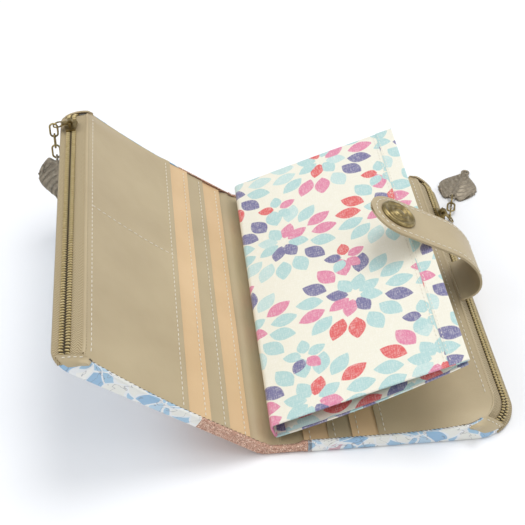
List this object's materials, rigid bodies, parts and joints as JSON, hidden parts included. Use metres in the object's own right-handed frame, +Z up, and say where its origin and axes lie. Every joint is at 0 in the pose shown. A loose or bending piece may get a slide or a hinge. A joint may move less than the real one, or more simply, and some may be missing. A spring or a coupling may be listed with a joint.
{
  "type": "coupon organizer wallet",
  "caption": "Zip-round wallet with card-slot covers, a narrow spine, a fold-open organizer booklet and a snap strap, lying half open.",
  "frame": {"origin": "centre of the right cover's flat underside", "axes": "+X across the folds from the spine to the right cover's zip, +Y along the folds away from the viewer, +Z up from the table"},
  "size_m": [0.233, 0.2021, 0.0666],
  "materials": {
    "printed_cloth": "laminated cotton cloth, pale blue and cream print",
    "glitter_cloth": "rose glitter cloth",
    "board": "bare stiffening board",
    "lining": "plain woven pocket lining",
    "taupe_leather": "smooth taupe synthetic leather",
    "peach_leather": "smooth peach synthetic leather",
    "zip_tape": "herringbone woven zip tape",
    "zip_teeth": "antique brass coated coil",
    "antique_brass": "antique brass, dark in the recesses",
    "pewter": "cast pewter with dark patina",
    "oilcloth": null
  },
  "bodies": {
    "right_cover": {"right_outer_cloth": "printed_cloth", "right_glitter_cloth": "glitter_cloth", "right_board": "board", "right_pocket_lining": "lining", "right_slot_strip_1": "peach_leather", "right_slot_strip_2": "taupe_leather", "right_slot_strip_3": "peach_leather", "right_slot_panel": "taupe_leather", "right_edge_binding": "printed_cloth", "right_zip_tape_inner": "zip_tape", "right_zip_tape_outer": "zip_tape", "right_zip_teeth": "zip_teeth", "right_zip_end_tabs": "taupe_leather"},
    "spine": {"spine_cloth": "glitter_cloth", "spine_lining": "taupe_leather", "spine_binding": "glitter_cloth"},
    "left_cover": {"left_outer_cloth": "printed_cloth", "left_glitter_cloth": "glitter_cloth", "left_board": "board", "left_pocket_lining": "lining", "left_slot_strip_1": "peach_leather", "left_slot_strip_2": "taupe_leather", "left_slot_strip_3": "peach_leather", "left_slot_panel": "taupe_leather", "left_edge_binding": "printed_cloth", "left_zip_tape_inner": "zip_tape", "left_zip_tape_outer": "zip_tape", "left_zip_teeth": "zip_teeth", "left_zip_end_tabs": "taupe_leather", "snap_stud": "antique_brass", "snap_stud_back": "antique_brass"},
    "booklet_front": {"booklet_front_leaf": "oilcloth", "booklet_fold_strip": "oilcloth", "booklet_front_pocket": "oilcloth"},
    "booklet_back": {"booklet_back_leaf": "oilcloth", "booklet_back_pocket": "oilcloth"},
    "strap": {"strap_face": "taupe_leather", "strap_backing": "taupe_leather", "snap_cap": "antique_brass", "snap_socket": "antique_brass"},
    "left_slider": {"left_zip_slider": "antique_brass"},
    "left_pull": {"left_pull_tab": "antique_brass"},
    "left_link_1": {"left_chain_link_1": "antique_brass"},
    "left_link_2": {"left_chain_link_2": "antique_brass"},
    "left_link_3": {"left_chain_link_3": "antique_brass"},
    "left_charm": {"left_leaf_charm": "pewter"},
    "right_slider": {"right_zip_slider": "antique_brass"},
    "right_pull": {"right_pull_tab": "antique_brass"},
    "right_link_1": {"right_chain_link_1": "antique_brass"},
    "right_link_2": {"right_chain_link_2": "antique_brass"},
    "right_link_3": {"right_chain_link_3": "antique_brass"},
    "right_charm": {"right_leaf_charm": "pewter"}
  },
  "joints": [
    {"name": "spine_fold", "type": "hinge", "parent": "right_cover", "child": "spine", "pos_m": [-0.04775, 0, 0.001], "axis": [0, 1, 0], "range_deg": [0, 70]},
    {"name": "cover_fold", "type": "hinge", "parent": "spine", "child": "left_cover", "pos_m": [-0.06425, 0, 0.005], "axis": [0, 1, 0], "range_deg": [-33, 68]},
    {"name": "booklet_fold", "type": "hinge", "parent": "spine", "child": "booklet_front", "pos_m": [-0.05565, 0, 0.00954], "axis": [0, -1, 0], "range_deg": [0, 50]},
    {"name": "booklet_open", "type": "hinge", "parent": "booklet_front", "child": "booklet_back", "pos_m": [-0.05915, 0, 0.0048], "axis": [0, -1, 0], "range_deg": [-14, 0]},
    {"name": "strap_swing", "type": "hinge", "parent": "right_cover", "child": "strap", "pos_m": [0.03895, 0, 0.0109], "axis": [0, 1, 0], "range_deg": [0, 46]},
    {"name": "left_zip", "type": "slide", "parent": "left_cover", "child": "left_slider", "axis": [0, 1, 0], "range_m": [-0.138, 0]},
    {"name": "left_pull_lift", "type": "hinge", "parent": "left_slider", "child": "left_pull", "pos_m": [-0.1438, 0.078, 0.06507], "axis": [0, 1, 0], "range_deg": [0, 140]},
    {"name": "left_link_1_swing", "type": "hinge", "parent": "left_pull", "child": "left_link_1", "pos_m": [-0.15202, 0.078, 0.06332], "axis": [0, 1, 0], "range_deg": [-10, 15]},
    {"name": "left_link_2_swing", "type": "hinge", "parent": "left_link_1", "child": "left_link_2", "pos_m": [-0.15202, 0.078, 0.05707], "axis": [-1, 0, 0], "range_deg": [-35, 35]},
    {"name": "left_link_3_swing", "type": "hinge", "parent": "left_link_2", "child": "left_link_3", "pos_m": [-0.15202, 0.078, 0.05082], "axis": [0, 1, 0], "range_deg": [-12, 10]},
    {"name": "left_charm_swing", "type": "hinge", "parent": "left_link_3", "child": "left_charm", "pos_m": [-0.15202, 0.078, 0.04457], "axis": [-1, 0, 0], "range_deg": [-35, 35]},
    {"name": "right_zip", "type": "slide", "parent": "right_cover", "child": "right_slider", "axis": [0, 1, 0], "range_m": [-0.118, 0.008]},
    {"name": "right_pull_lift", "type": "hinge", "parent": "right_slider", "child": "right_pull", "pos_m": [0.0469, 0.062, 0.00753], "axis": [0, 1, 0], "range_deg": [-100, 0]},
    {"name": "right_link_1_swing", "type": "hinge", "parent": "right_pull", "child": "right_link_1", "pos_m": [0.05127, 0.06431, 0.0025], "axis": [-0.9613, 0.2756, 0], "range_deg": [-25, 0]},
    {"name": "right_link_2_swing", "type": "hinge", "parent": "right_link_1", "child": "right_link_2", "pos_m": [0.05299, 0.07032, 0.0025], "axis": [0, 0, 1], "range_deg": [-25, 3]},
    {"name": "right_link_3_swing", "type": "hinge", "parent": "right_link_2", "child": "right_link_3", "pos_m": [0.05472, 0.07632, 0.0025], "axis": [-0.9613, 0.2756, 0], "range_deg": [-25, 0]},
    {"name": "right_charm_swing", "type": "hinge", "parent": "right_link_3", "child": "right_charm", "pos_m": [0.05644, 0.08233, 0.0025], "axis": [0, 0, 1], "range_deg": [-15, 5]}
  ],
  "couplings": [
    {"joint": "booklet_fold", "follows": "spine_fold", "ratio": 0.7056}
  ]
}
